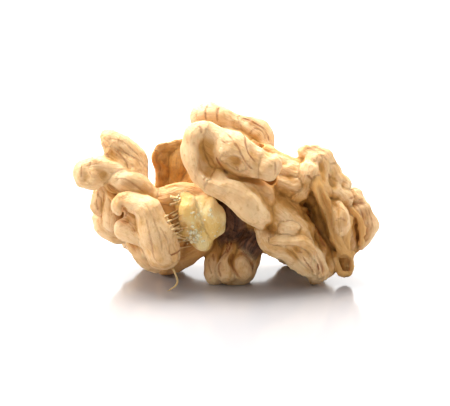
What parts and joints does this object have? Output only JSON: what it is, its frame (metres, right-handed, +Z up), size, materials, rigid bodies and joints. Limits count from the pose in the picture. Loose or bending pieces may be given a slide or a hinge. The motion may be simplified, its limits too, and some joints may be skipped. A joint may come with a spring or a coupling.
{
  "type": "shelled walnut kernel",
  "caption": "Shelled walnut kernel, one whole crinkled piece with two wings, a high crown and a broken pale middle, standing on its own folds.",
  "frame": {"origin": "on the floor it rests on, under the middle of the kernel's outer box", "axes": "+X to the right wing along the longest side, +Y to the rounded back, +Z up"},
  "size_m": [0.0381, 0.0194, 0.0221],
  "materials": {
    "kernel_skin": "dry papery tan skin with brown veins over pale cream flesh"
  },
  "bodies": {
    "root": {"walnut_kernel": "kernel_skin"}
  },
  "joints": []
}
